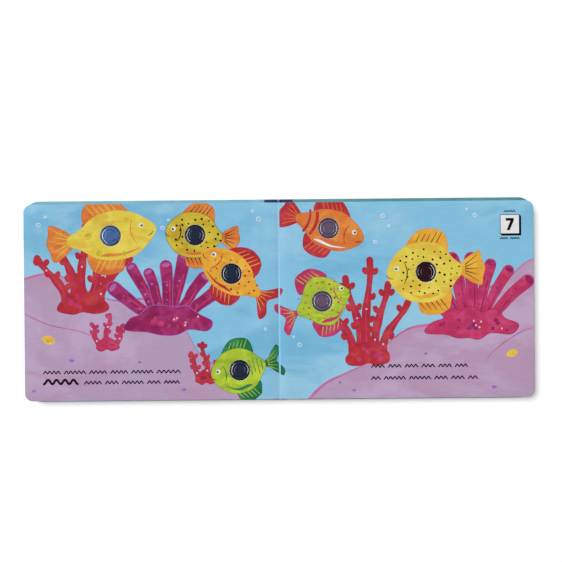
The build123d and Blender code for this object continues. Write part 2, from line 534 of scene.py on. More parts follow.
RIM = {
    "yellow": "gold",
    "olive": "ink",
    "gold": "orange",
    "orange": "red",
    "lime": "green",
    "green": "ink",
    "red": "magenta",
    "magenta": "violet",
    "pink": "magenta",
}


class Art:
    """Printed shapes in order, each a colour name and an outline in millimetres on the spread."""

    def __init__(self):
        self.shapes = []
        self.taken = []  # middles of the spots drawn so far

    def add(self, colour, outline):
        self.shapes.append((colour, outline))

    def rimmed(self, colour, outline, rim=0.4):
        """A shape with the darker edge that wet paint dries to."""
        self.add(RIM[colour], grow(outline, rim))
        self.add(colour, outline)

    def place(self, x, y, turn, flip, size, colour, local, wobble=0.0, seed=1, rim=0.0):
        """Add a shape drawn about 0,0 with its length as 1, facing right."""
        c, s = math.cos(turn), math.sin(turn)
        line = hand(smooth([(u * size, v * size) for u, v in local]), wobble, seed)
        placed = [(x + c * u * flip - s * v, y + s * u * flip + c * v) for u, v in line]
        if rim:
            self.rimmed(colour, placed, rim)
        else:
            self.add(colour, placed)


def to_page(x, y, turn, flip, size, u, v):
    """A point of a placed shape, on the spread."""
    c, s = math.cos(turn), math.sin(turn)
    return x + c * u * size * flip - s * v * size, y + s * u * size * flip + c * v * size


FISH_BODIES = {
    "long": [(0.50, 0.01), (0.42, 0.12), (0.26, 0.22), (0.05, 0.265), (-0.16, 0.22), (-0.34, 0.10),
             (-0.46, 0.045), (-0.46, -0.045), (-0.34, -0.11), (-0.16, -0.23), (0.05, -0.27),
             (0.26, -0.23), (0.42, -0.11)],
    "round": [(0.46, 0.02), (0.40, 0.17), (0.24, 0.31), (0.02, 0.36), (-0.20, 0.29), (-0.35, 0.12),
              (-0.42, 0.05), (-0.42, -0.05), (-0.35, -0.13), (-0.20, -0.30), (0.02, -0.36),
              (0.24, -0.31), (0.40, -0.16)],
    "tall": [(0.44, -0.03), (0.36, 0.12), (0.20, 0.30), (0.02, 0.38), (-0.16, 0.30), (-0.30, 0.13),
             (-0.40, 0.05), (-0.40, -0.06), (-0.30, -0.14), (-0.16, -0.31), (0.02, -0.38),
             (0.20, -0.29), (0.36, -0.14)],
}
TAILS = {
    "fork": [(-0.40, 0.0), (-0.50, 0.09), (-0.66, 0.25), (-0.70, 0.15), (-0.61, 0.0), (-0.70, -0.15),
             (-0.66, -0.25), (-0.50, -0.09)],
    "fan": [(-0.38, 0.0), (-0.50, 0.13), (-0.64, 0.20), (-0.67, 0.10), (-0.70, 0.0), (-0.67, -0.10),
            (-0.64, -0.20), (-0.50, -0.13)],
}


CAP_ROOM = 11.5  # marks on a fish stay this far from its cap's middle


def fish(art, x, y, size, turn, flip, body, tail, skin, fins, spots, seed):
    """A plain fish about a cap: fins, body, spots or bars, gill, mouth and eye."""
    draw = random.Random(seed)

    def at(u, v):
        return to_page(x, y, turn, flip, size, u, v)

    def brush(colour, points):
        art.add(colour, ribbon([(*at(u, v), w) for u, v, w in points]))

    def put(colour, local, wobble=0.3, rim=0.35):
        art.place(x, y, turn, flip, size, colour, local, wobble, draw.randint(1, 999), rim)

    outline = FISH_BODIES[body]
    high = max(v for _, v in outline)
    rays, marks = ("ink", "ink") if spots == "line" else (skin, fins)
    put(fins, TAILS[tail])
    for edge in (1, -1):
        put(fins, [(0.22 - 0.1 * (edge < 0), edge * high * 0.84), (0.08, edge * (high + 0.12)),
                   (-0.10, edge * (high + 0.15)), (-0.25, edge * (high + 0.07)),
                   (-0.26, edge * high * 0.60), (-0.02, edge * high * 0.8)])
        for u in (0.08 - 0.065 * k for k in range(5)):
            brush(rays, [(u + 0.03, edge * (high - 0.02), 0.9), (u - 0.045, edge * (high + 0.10), 0.35)])
    for v in (-0.15, -0.075, 0.0, 0.075, 0.15):
        brush(rays, [(-0.47, v * 0.35, 0.9), (-0.62, v * 1.05, 0.3)])
    put(skin, outline)
    # belly glaze, then the pattern between the cap and the tail, and behind the gill
    belly = [(0.30, -0.17), (0.10, -high * 0.86), (-0.14, -high * 0.78), (-0.06, -high * 0.70),
             (0.12, -high * 0.76)]
    put("paper" if spots == "bar" else fins, belly, 0.1, 0)
    if spots in ("dot", "line"):
        for _ in range(240):
            u, v = draw.uniform(-0.42, 0.30), draw.uniform(-high, high)
            room = (u / 0.46) ** 2 + (v / (high * 0.86)) ** 2
            if room > 0.8 or math.hypot(u, v) < CAP_ROOM / size + 0.015:
                continue
            px, py = at(u, v)
            if any(math.dist((px, py), q) < 5.2 for q in art.taken):
                continue
            art.taken.append((px, py))
            art.add(marks, oval(px, py, draw.uniform(0.75, 1.25), count=12))
    if spots == "ring":
        for u, v, r in ((-0.24, 0.03, 3.4), (0.20, 0.15, 2.6), (-0.12, 0.20, 2.4), (-0.15, -0.17, 3.0),
                        (0.12, -0.21, 2.3)):
            art.add("olive", hand(oval(*at(u, v), r), 0.25, draw.randint(1, 999)))
    if spots == "bar":
        for u, wide in ((-0.21, 3.2), (-0.31, 2.4)):
            brush(fins, [(u + 0.03 * math.cos(3 * v), v * high, wide) for v in (-0.55, -0.2, 0.2, 0.55)])
    if spots == "scale":
        for row in range(4):
            for col in (-1, 0, 1):
                u, v = -0.16 - 0.062 * row, 0.085 * col + 0.04 * (row % 2)
                if abs(v) <= 0.23 - 0.045 * row:
                    bow = (2.0, 2.6, math.pi, 3.7, 4.3)
                    brush(fins, [(u + 0.024 * math.cos(a), v + 0.04 * math.sin(a), 0.7) for a in bow])
    brush(marks, ((0.255, 0.14, 0.5), (0.225, 0.05, 1.0), (0.235, -0.05, 1.0), (0.27, -0.12, 0.5)))
    brush("ink", ((0.40, -0.055, 0.4), (0.435, -0.045, 0.7), (0.47, -0.015, 0.5)))
    ex, ey = at(0.345, 0.065)
    art.add("paper", oval(ex, ey, 2.3, count=20))
    art.add("ink", oval(ex + 0.45 * flip, ey - 0.1, 1.25, count=16))
    art.add("paper", oval(ex + 0.05 * flip, ey + 0.45, 0.42, count=10))


def fanned(count):
    """Places of the stems across a clump, from -1 to 1, the outermost first."""
    middle = (count - 1) / 2
    order = sorted(range(count), key=lambda k: -abs(k - middle))
    return [(k - middle) / max(count - 1, 1) * 2 for k in order]


def blots(art, draw, count, colour, x, y, wide, reach, up, radii, size=1):
    """Soft round blots of paint scattered over a root."""
    for _ in range(count):
        px, py = x + draw.uniform(-reach, reach) * wide, y + draw.uniform(*up) * size
        blot = oval(px, py, size * draw.uniform(*radii), count=16)
        art.add(colour, hand(blot, 0.3, draw.randint(1, 99)))


def pearl(art, x, y, colour):
    art.add("paper", oval(x, y, 0.9, count=12))
    art.add(colour, oval(x, y, 0.45, count=10))


KELP_FOOT = [(-0.34, -3), (-0.26, 7), (-0.10, 15), (0.10, 14), (0.26, 8), (0.34, -2), (0.16, -7), (0, -5),
             (-0.16, -8)]


def kelp(art, x, y, high, wide, count, colour, second, seed):
    """A clump of bladder weed: swaying round-tipped straps with round bladders, from one low root."""
    draw = random.Random(seed)
    straps = []
    size = min(1.0, 0.25 + high / 112)
    for share in fanned(count):
        tall = high * draw.uniform(0.84, 1.0) * (1 - 0.34 * abs(share) ** 1.5)
        sway = draw.uniform(2.0, 3.6) * draw.choice((-1, 1))
        spine = []
        for j in range(9):
            t = j / 8
            px = x + 0.20 * wide * share + 0.36 * wide * share * t**1.3
            px += sway * math.sin(1.7 * math.pi * t) * (0.3 + t)
            w = 10.0 - 6.0 * t + 1.1 * math.sin(5 * math.pi * t) if j < 8 else 6.2
            spine.append((px, y + tall * t, size * w))
        straps.append(spine)
        shapes = [ribbon(spine)]
        for j in (3, 5, 7):
            px, py, w = spine[j]
            for side in (-1, 1):
                if draw.random() < 0.75:
                    bx, by = px + side * (w * 0.5 + 2.2 * size), py + draw.uniform(0, 3)
                    shapes.append(hand(oval(bx, by, 2.5 * size, 3.5 * size, -0.5 * side), 0.2, j))
        for shape in shapes:
            art.add(RIM[colour], grow(shape, 0.4))
        for shape in shapes:
            art.add(colour, shape)
        art.add(second, ribbon([(a, b, max(0.6, w * 0.13)) for a, b, w in spine[1:-1]]))
    foot = smooth([(x + u * wide, y + v * size) for u, v in KELP_FOOT])
    art.rimmed(colour, hand(foot, 1.2 * size, seed))
    blots(art, draw, 8, second, x, y, wide, 0.2, (-2, 10), (1.0, 3.0), size)
    for spine in straps:
        pearl(art, *spine[draw.randint(2, 6)][:2], colour)


SPONGE_MOUND = [(-0.42, -5), (-0.36, 5), (-0.27, 9), (-0.18, 17), (-0.04, 19), (0.10, 16), (0.20, 18),
                (0.31, 9), (0.43, 2), (0.38, -7), (0.20, -6), (0.02, -12), (-0.20, -8)]


def sponges(art, x, y, high, wide, count, colour, second, seed):
    """A cluster of tube sponges: stout round tubes fanning out of one mound, each open at the top."""
    draw = random.Random(seed)
    for share in fanned(count):
        tall = high * draw.uniform(0.72, 1.0) * (1 - 0.38 * abs(share) ** 1.4)
        lean = 0.40 * wide * share
        w = draw.uniform(9.5, 13.0)
        spine = []
        for t in (0.0, 0.25, 0.5, 0.75, 1.0):
            px = x + 0.12 * wide * share + lean * t**1.25 + draw.uniform(-1, 1)
            spine.append((px, y + tall * t, w * (0.72 + 0.36 * t)))
        art.rimmed(colour, hand(ribbon(spine), 0.4, draw.randint(1, 999)), 0.5)
        (ax, ay, _), (bx, by, bw) = spine[-2:]
        angle = math.atan2(by - ay, bx - ax) - math.pi / 2
        along = angle + math.pi / 2
        mouth = (bx + 1.5 * math.cos(along), by + 1.5 * math.sin(along))
        art.add(second, oval(*mouth, bw * 0.42, bw * 0.24, angle, 24))
        art.add(RIM[colour], oval(*mouth, bw * 0.30, bw * 0.14, angle, 20))
        art.add(second, ribbon([(a + 0.24 * wide_here, b, 1.4) for a, b, wide_here in spine[1:-1]]))
        for j in range(5):
            t = draw.uniform(0.15, 0.85)
            i = min(int(t * 4), 3)
            px = spine[i][0] + (spine[i + 1][0] - spine[i][0]) * (t * 4 - i) + draw.uniform(-2.4, 1.4)
            pore = oval(px, y + tall * t, draw.uniform(0.7, 1.3), count=12)
            art.add(RIM[colour] if j % 2 else second, pore)
    mound = smooth([(x + u * wide, y + v) for u, v in SPONGE_MOUND])
    art.rimmed(colour, hand(mound, 1.6, seed), 0.5)
    blots(art, draw, 16, second, x, y, wide, 0.33, (-4, 7), (0.8, 2.8))
    for _ in range(5):
        pearl(art, x + draw.uniform(-0.3, 0.3) * wide, y + draw.uniform(-3, 8), colour)


def shell(art, x, y, size, turn, colour, second):
    """A fan shell with ribs."""
    lobes, steps = 7, 6
    at = lambda far, a: (x + far * math.sin(a), y + far * math.cos(a))
    rim = []
    for i in range(lobes * steps + 1):
        a = math.radians(-72 + 144 * i / (lobes * steps)) + turn
        rim.append(at(size * (1 + 0.05 * abs(math.sin(math.pi * i / steps))), a))
    art.rimmed(colour, rim + [at(0.22 * size, turn + s) for s in (2.2, -2.2)])
    for i in range(1, lobes):
        a = math.radians(-72 + 144 * i / lobes) + turn
        art.add(second, ribbon([(*at(0.1 * size, a), 0.35), (*at(0.93 * size, a), 0.8)]))


def bubble(art, x, y, r):
    """A pale ring with a glint."""
    art.add("paper", oval(x, y, r, count=24))
    art.add("water", oval(x, y, r - 0.55, count=24))
    art.add("paper", oval(x - 0.35 * r, y + 0.35 * r, 0.22 * r, count=10))


def word_row(art, x0, x1, y, high, stroke, seed, longest=0):
    """Even wave lines in short runs, where lines of words would stand."""
    draw = random.Random(seed)
    pitch = high * 1.15
    x = x0
    while x < x1 - pitch:
        end = min(x + (longest or draw.choice((2, 3, 3, 4, 5)) * pitch + stroke), x1)
        if x1 - end < 2 * pitch:
            end = x1
        steps = 8 * max(1, round((end - x - stroke) / pitch))
        line = []
        for i in range(steps + 1):
            wave = (high - stroke) / 2 * math.cos(math.tau * i / 8)
            line.append((x + stroke / 2 + (end - x - stroke) * i / steps, y - wave, stroke))
        art.add("ink", ribbon(line))
        x = end + 0.75 * high


def numeral_seven(x, y, high):
    """A plain bold seven."""
    w, t = high * 0.66, high * 0.215
    return [(x - w / 2, y + high / 2), (x + w / 2, y + high / 2), (x + w / 2, y + high / 2 - t),
            (x - w * 0.02, y - high / 2), (x - w * 0.02 - t * 1.15, y - high / 2),
            (x + w / 2 - t * 1.25, y + high / 2 - t), (x - w / 2, y + high / 2 - t)]


DUNE_LEFT = [(-290, 14), (-262, 22), (-232, 29), (-206, 22), (-184, 8), (-158, 1), (-134, 3), (-112, -8),
             (-94, -28), (-80, -52), (-62, -66), (-44, -86), (-30, -101), (-22, -125)]
DUNE_RIGHT = [(14, -125), (26, -103), (44, -84), (68, -72), (92, -60), (112, -40), (132, -28), (156, -24),
              (180, -12), (204, 8), (228, 20), (250, 38), (290, 50)]


def spread_art():
    """The open spread: water, dunes, weed, a fish round each cap, wave lines for words, and a 7."""
    art = Art()
    left = smooth(DUNE_LEFT, closed=False, step=2)
    right = smooth(DUNE_RIGHT, closed=False, step=2)
    art.add("sand", left + [(-290, -125)])
    art.add("sand", right + [(290, -125)])
    for line in (
        [(x, y, 1.5 + 0.8 * math.sin(i * 1.3)) for i, (x, y) in enumerate(DUNE_LEFT)],
        [(x, y, 2.3 + 1.2 * math.sin(i * 0.9 + 1)) for i, (x, y) in enumerate(DUNE_RIGHT)],
        [(-256, -10, 0.8), (-230, -22, 1.4), (-196, -30, 1.0), (-170, -44, 0.6)],
        [(255, -28, 0.8), (236, -36, 1.4), (214, -52, 1.0), (205, -64, 0.5)],
    ):
        art.add("contour", ribbon(line))
    kelp(art, -196, -4, 84, 76, 5, "red", "pink", 3)
    sponges(art, -112, -22, 74, 104, 7, "magenta", "pink", 8)
    kelp(art, -172, -44, 36, 34, 3, "pink", "red", 5)
    kelp(art, -74, -78, 40, 30, 3, "red", "magenta", 15)
    kelp(art, 88, -58, 98, 66, 5, "red", "pink", 21)
    sponges(art, 192, -28, 78, 108, 7, "pink", "magenta", 27)
    caps = [cap_centre(n) for n in CAP_NODES]
    looks = (
        (92, 8, 1, "long", "fan", "yellow", "orange", "ring"),
        (64, -6, -1, "round", "fan", "olive", "orange", "line"),
        (74, -38, -1, "long", "fork", "gold", "red", "dot"),
        (62, 14, -1, "round", "fork", "lime", "green", "scale"),
        (74, -20, 1, "long", "fan", "orange", "red", "bar"),
        (66, 24, 1, "tall", "fork", "lime", "pink", "dot"),
        (84, 4, -1, "round", "fan", "yellow", "gold", "line"),
    )
    for number, ((x, y), (size, turn, flip, *rest)) in enumerate(zip(caps, looks)):
        fish(art, x, y, size, math.radians(turn), flip, *rest, 40 + number)
    shell(art, -232, -40, 7, 0.3, "yellow", "orange")
    shell(art, 233, -57, 6, -0.3, "yellow", "gold")
    for x, y, r in ((-240, 78, 2.2), (-233, 86, 1.4), (-116, 74, 2.0), (-110, 82, 1.2), (-20, 82, 2.4),
                    (-26, 90, 1.5), (104, 84, 2.2), (110, 74, 1.4), (196, 84, 2.0), (188, 90, 1.2),
                    (96, 58, 1.8), (20, -44, 2.0), (14, -36, 1.2), (-14, -28, 1.5)):
        bubble(art, x, y, r)
    for x, y, r in ((-208, -58, 1.6), (-140, -60, 1.2), (-96, -88, 1.5), (214, -88, 1.6), (146, -54, 1.2),
                    (74, -90, 1.4), (-246, -88, 1.4), (60, -82, 1.1)):
        art.add("violet", hand(oval(x, y, r * 1.5, r), 0.3, int(x * 3 + 900)))
    for row in ((-237, -99, -69.5, 3.7, 1.2, 11), (-237, -201, -79.0, 6.6, 2.3, 16, 40),
                (-196, -100, -80.0, 3.7, 1.2, 12), (91, 188, -66.0, 3.7, 1.2, 13),
                (91, 198, -78.0, 3.7, 1.2, 14)):
        word_row(art, *row)
    tile, rim, tx, ty = 9.75, 0.55, 231.0, 74.5

    def square(half, shift=0.0):
        corners = ((-half, -half), (half, -half), (half, half), (-half, half))
        return [(tx + u + shift, ty + v - shift) for u, v in corners]

    for i in range(5):
        art.add("ink", square(tile, 0.42 * i))
    art.add("paper", square(tile - rim))
    art.add("ink", numeral_seven(tx, ty, 12.2))
    word_row(art, tx - 6, tx + 6, ty + 13.0, 2.2, 0.85, 17)
    word_row(art, tx - 10, tx + 10, ty - 14.0, 2.2, 0.85, 18)
    return art.shapes


# ---------------------------------------------------------------- printed boards


def inside(points, outline):
    """Which of the points lie in the outline, by winding number."""
    poly = np.array(outline)
    wind = np.zeros(len(points), int)
    near = (
        (points[:, 0] > poly[:, 0].min())
        & (points[:, 0] < poly[:, 0].max())
        & (points[:, 1] > poly[:, 1].min())
        & (points[:, 1] < poly[:, 1].max())
    )
    if not near.any():
        return wind.astype(bool)
    x, y = points[near, 0][:, None], points[near, 1][:, None]
    x1, y1 = poly[:, 0], poly[:, 1]
    x2, y2 = np.roll(x1, -1), np.roll(y1, -1)
    side = (x2 - x1) * (y - y1) - (x - x1) * (y2 - y1)
    up = (y1 <= y) & (y2 > y) & (side > 0)
    down = (y1 > y) & (y2 <= y) & (side < 0)
    wind[near] = up.sum(1) - down.sum(1)
    return wind != 0


def printed_sheet(outline, holes, lines, shapes):
    """Flat triangles inside the outline and outside the holes, each with its printed colour."""
    coords, edges = [], []

    def add(points, closed=True):
        first = len(coords)
        coords.extend(Vector(p) for p in points)
        count = len(points)
        edges.extend((first + i, first + (i + 1) % count) for i in range(count if closed else count - 1))

    add(outline)
    for hole in holes:
        add(hole)
    for line in lines:
        add(line, closed=False)
    lows = np.array(outline).min(0) - 3
    highs = np.array(outline).max(0) + 3
    kept = []
    for colour, shape in shapes:
        box = np.array(shape)
        if (box.max(0) > lows).all() and (box.min(0) < highs).all():
            kept.append((colour, shape))
            add(shape)
    verts, _, faces, *_ = delaunay_2d_cdt(coords, edges, [], 0, 1e-4, False)
    flat = np.array([(v.x, v.y) for v in verts])
    tris = np.array([f for f in faces if len(f) == 3])
    middle = flat[tris].mean(1)
    keep = inside(middle, outline)
    for hole in holes:
        keep &= ~inside(middle, hole)
    tris, middle = tris[keep], middle[keep]
    colours = np.zeros(len(tris), int)
    names = ["base"]
    for colour, shape in kept:
        if colour not in names:
            names.append(colour)
        colours[inside(middle, shape)] = names.index(colour)
    return flat, tris, colours, names


def half_outline(x_in, x_out, half, corner, steps=12):
    """Outline of one half from the gutter side, with round corners at the fore edge."""
    points = [(x_in, -half)]
    for cy, start in ((-(half - corner), -math.pi / 2), (half - corner, 0)):
        for i in range(steps + 1):
            a = start + math.pi / 2 * i / steps
            points.append((x_out - corner + corner * math.cos(a), cy + corner * math.sin(a)))
    points.append((x_in, half))
    return points


def outward(x, y, x_in, x_out, half, corner):
    """Which way is out of the half's outline at a point on its rim; the gutter side stays put."""
    dx, dy = x - (x_out - corner), abs(y) - (half - corner)
    if dx > 0 and dy > 0:
        far = math.hypot(dx, dy)
        return dx / far, dy / far * math.copysign(1, y)
    if dy > corner * 0.5:
        return 0.0, math.copysign(1, y)
    if x < x_in + 0.5:
        return 0.0, 0.0
    return 1.0, 0.0


def add_object(name, data):
    """A new object in the scene."""
    made = bpy.data.objects.new(name, data)
    bpy.context.scene.collection.objects.link(made)
    return made


def quarter(steps):
    """Angles of a quarter round's points, after its first."""
    return [math.pi / 2 * i / steps for i in range(1, steps + 1)]


class HalfBoard:
    """Builds one closed mesh for a leaf stack or a cover board on one side of the gutter."""

    def __init__(self, name, side, x_in, x_out, half, corner, edge):
        self.name, self.side, self.edge = name, side, edge
        self.x_in, self.x_out, self.half, self.corner = x_in, x_out, half, corner
        self.mesh = bmesh.new()
        self.materials = []

    def slot_of(self, material):
        """The material's place in the piece's list, added at its first use."""
        if material not in self.materials:
            self.materials.append(material)
        return self.materials.index(material)

    def point(self, x, y, z):
        """A new vertex, from millimetres on the right-hand side."""
        return self.mesh.verts.new((self.side * x * MM, y * MM, z * MM))

    def mirrored(self, shapes):
        return [(c, [(self.side * x, y) for x, y in shape]) for c, shape in shapes]

    def print_face(self, sheet, height, inks, base):
        """Turn a printed sheet's triangles into faces, each in its printed colour."""
        flat, tris, colours, names = sheet
        slots = [self.slot_of(base if n == "base" else inks[n]) for n in names]
        made = {}
        for tri, colour in zip(tris, colours):
            for i in tri:
                if i not in made:
                    made[i] = self.point(*flat[i], height(flat[i][0]))
            face = self.mesh.faces.new([made[i] for i in tri])
            face.material_index = slots[colour]
            face.smooth = True

    def cap(self, holes, lines, shapes, height, inks, base):
        """The printed face inside the rounded edge, returned as its rim and hole edges."""
        inset = self.edge
        outline = half_outline(self.x_in, self.x_out - inset, self.half - inset, self.corner - inset)
        self.print_face(printed_sheet(outline, holes, lines, self.mirrored(shapes)), height, inks, base)
        return [e for e in self.mesh.edges if e.is_boundary]

    def ring(self, offset, height, x_min=0.0):
        """Where the rim's vertices go: out by offset from the full outline, at height(x)."""
        far = self.edge + offset

        def where(x, y):
            ox, oy = outward(x, y, self.x_in, self.x_out, self.half, self.corner)
            u, v = max(x, x_min) + ox * far, y + oy * far
            return u, v, height(u)

        return where

    def flat_of(self, vert):
        """A vertex's place on the right-hand side, in millimetres."""
        return self.side * vert.co.x / MM, vert.co.y / MM

    def loft(self, edges, rings):
        """Carry edges through rings, each (place of a vertex, material or None to keep the edge's)."""
        current = [(e.verts[0], e.verts[1], e.link_faces[0].material_index) for e in edges]
        place = {v: self.flat_of(v) for a, b, _ in current for v in (a, b)}
        for where, material in rings:
            new = {v: self.point(*where(*place[v])) for v in place}
            following = []
            for a, b, kept in current:
                face = self.mesh.faces.new((a, b, new[b], new[a]))
                face.material_index = kept if material is None else self.slot_of(material)
                face.smooth = True
                following.append((new[a], new[b], kept))
            place = {new[v]: place[v] for v in place}
            current = following
        return current

    def close(self, rim, material):
        """Fill the last ring."""
        edges = [self.mesh.edges.get((a, b)) for a, b, _ in rim]
        made = bmesh.ops.triangle_fill(self.mesh, use_beauty=True, edges=edges)
        for face in (g for g in made["geom"] if isinstance(g, bmesh.types.BMFace)):
            face.material_index = self.slot_of(material)
            face.smooth = True

    def finish(self, body, node):
        """Make the mesh a piece that moves with its body and stands for its node."""
        bmesh.ops.remove_doubles(self.mesh, verts=self.mesh.verts, dist=1e-7)
        bmesh.ops.recalc_face_normals(self.mesh, faces=self.mesh.faces)
        data = bpy.data.meshes.new(self.name)
        self.mesh.to_mesh(data)
        self.mesh.free()
        for material in self.materials:
            data.materials.append(material)
        piece = add_object(self.name, data)
        data.set_sharp_from_angle(angle=math.radians(32))
        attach(piece, body)
        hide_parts(node)


def face_height(k, x, look):
    """Height of the face above leaf k at distance x from the gutter, in millimetres."""
    leaf_t = (PAGE_TOP - BOARD_T) / look.leaves
    z = BOARD_T + k * leaf_t
    wide = look.valley_w / MM
    drop = look.valley_d / MM * k / look.leaves
    if not drop or x >= wide:
        return z
    radius = (wide**2 + drop**2) / (2 * drop)
    return z - (radius - math.sqrt(radius**2 - (wide - x) ** 2))


def build_leaves(side, inks, shapes):
    """One half of the leaves: printed top page with cap holes, softened edges and parting lines."""
    look = bpy.context.scene.book_leaves
    edge, groove, deep = look.edge / MM, look.groove_w / MM, look.groove_d / MM
    corner, inner = look.corner / MM, look.inner / MM
    hole_r, pocket_r, wide = look.hole / MM, look.pocket / MM, look.valley_w / MM
    floor_z, lip_z = PAGE_TOP - look.pocket_floor / MM, PAGE_TOP - look.lip / MM
    node = "right_pages" if side > 0 else "left_pages"
    name = node.replace("pages", "leaves")
    board = HalfBoard(name, side, FOLD_X, PAGE_W, PAGE_HALF, corner, edge)
    top, core = look.leaves, inks["core"]
    soft = 0.3  # rounding of a cap hole's edge
    lower = 0.18  # softening of each leaf's lower and upper edge
    on_lining = 0.02  # the lowest leaf's height above the cover's lining
    spots = [(side * x, y) for x, y in map(cap_centre, CAP_NODES) if side * x > 0]
    holes = [oval(x, y, hole_r + soft, count=56) for x, y in spots]
    steps = (1.2, 2.4, 3.6, 4.8, 6.0, 7.5, 9.0, 10.5, wide)
    lines = [[(x, -PAGE_HALF - 1), (x, PAGE_HALF + 1)] for x in steps]
    rims = board.cap(holes, lines, shapes, lambda x: face_height(top, x, look), inks, inks["water"])

    def near(rim):
        """The cap hole that a rim edge belongs to, if any."""
        here = board.flat_of(rim.verts[0])
        return next((s for s in spots if math.dist(here, s) < hole_r + 1), None)

    def ring(offset, k, dz, x_min=0.0):
        return board.ring(offset, lambda u: face_height(k, u, look) + dz, x_min)

    rings = [(ring(-edge + edge * math.sin(a), top, -edge + edge * math.cos(a)), None) for a in quarter(3)]
    for k in range(top - 1, -1, -1):
        x_min = 0.0 if k == top - 1 else inner
        gap = groove / 2 if k else on_lining
        turns = [(0, gap + lower, x_min), (-0.3 * lower, gap + 0.3 * lower, x_min), (-lower, gap, x_min)]
        if k:
            turns += [(-deep, gap * 0.6, x_min), (-deep, -gap * 0.6, inner), (-lower, -gap, inner),
                      (-0.3 * lower, -gap - 0.3 * lower, inner), (0, -gap - lower, inner)]
        rings += [(ring(offset, k, dz, x_low), core) for offset, dz, x_low in turns]
    board.close(board.loft([e for e in rims if near(e) is None], rings), inks["endpaper"])

    for spot in spots:

        def round_ring(radius, z, spot=spot):
            def where(x, y):
                share = radius / math.dist((x, y), spot)
                return spot[0] + (x - spot[0]) * share, spot[1] + (y - spot[1]) * share, z

            return where, core

        steps = ((hole_r + soft * 0.3, PAGE_TOP - soft * 0.3), (hole_r, PAGE_TOP - soft), (hole_r, lip_z),
                 (pocket_r, lip_z), (pocket_r, floor_z))
        board.close(board.loft([e for e in rims if near(e) == spot], [round_ring(*s) for s in steps]), core)
    board.finish("right_half" if side > 0 else "left_half", node)


def cover_art():
    """Outside of the case: wave bands and a blank label, plain and generic."""
    shapes = []
    for row in range(7):
        crest = []
        for i in range(62):
            y = -110 + 34 * row + 3.2 * math.sin(i * 0.72 + row) + 2 * math.sin(i * 0.31)
            crest.append((-275 + 9 * i, y, 3.2))
        shapes.append(("wave", ribbon(crest)))
    boxy = lambda half, v: half * v * abs(v) ** -0.45
    angles = [math.tau * (i + 0.5) / 96 for i in range(96)]
    for x in (-130, 130):
        label = [(x + boxy(62, math.cos(a)), boxy(36, math.sin(a))) for a in angles]
        shapes.append(("paper", label))
        shapes.append(("endpaper", [(x + (px - x) * 0.95, py * 0.92) for px, py in label]))
    return shapes


def build_cover(side, inks):
    """A wrapped cover board: lining inside with the wrap's turn-ins round it, plain print outside."""
    look = bpy.context.scene.book_case
    edge, corner, turn = look.edge / MM, look.corner / MM, look.turn_in / MM
    node, body = ("back_cover", "back_board") if side > 0 else ("front_cover", "front_board")
    board = HalfBoard(node + "_board", side, COVER_IN, COVER_W, COVER_HALF, corner, edge)
    margin = 6.0
    lining = half_outline(COVER_IN - 1, COVER_W - margin, COVER_HALF - margin, corner - margin + 3)
    lining = [(side * x, y) for x, y in lining]
    navy = [(side * x, y) for x, y in ((-1, -120), (turn, -120), (turn + 0.5, 120), (-1, 120))]
    shapes = [("navy", navy)]
    draw = random.Random(5 + side)
    tail = -COVER_HALF
    for colour, x0, x1 in (("olive", -47, -38), ("green", -38, -30), ("ink", -30, -24), ("lime", -24, -17),
                           ("orange", -17, -8), ("navy", -8, 8), ("olive", 8, 18), ("green", 18, 27)):
        wave = draw.uniform(-1, 1)
        shapes.append((colour, [(x0, tail - 2), (x1, tail - 2), (x1 + wave, tail + 9), (x0, tail + 9)]))
    shapes.append(("endpaper", lining))
    rims = board.cap([], [], shapes, lambda x: BOARD_T, inks, inks["wrap_right" if side > 0 else "wrap_left"])

    def ring(offset, z, material):
        return board.ring(offset, lambda u: z), material

    rings = [ring(-edge + edge * math.sin(a), BOARD_T - edge + edge * math.cos(a), None) for a in quarter(4)]
    rings.append(ring(0, edge, None))
    for a in quarter(4):
        rings.append(ring(-edge + edge * math.cos(a), edge - edge * math.sin(a), inks["outside"]))
    # the outside print fills the last ring
    outline = [board.flat_of(v) for v in chain(board.loft(rims, rings))]
    sheet = printed_sheet(outline, [], [], board.mirrored(cover_art()))
    board.print_face(sheet, lambda x: 0.0, inks, inks["outside"])
    bmesh.ops.remove_doubles(board.mesh, verts=board.mesh.verts, dist=2e-7)
    board.finish(body, node)


def chain(rim):
    """The rim's vertices in order round the loop."""
    following = {}
    for a, b, _ in rim:
        following.setdefault(a, []).append(b)
        following.setdefault(b, []).append(a)
    start = rim[0][0]
    order, last, here = [start], None, start
    while True:
        options = [v for v in following[here] if v is not last]
        last, here = here, options[0]
        if here is start:
            return order
        order.append(here)


def add_piece(name, verts, faces, material):
    """A smooth-shaded mesh piece from points in millimetres."""
    data = bpy.data.meshes.new(name)
    data.from_pydata([tuple(c * MM for c in v) for v in verts], [], faces)
    data.materials.append(material)
    data.polygons.foreach_set("use_smooth", [True] * len(data.polygons))
    return add_object(name, data)


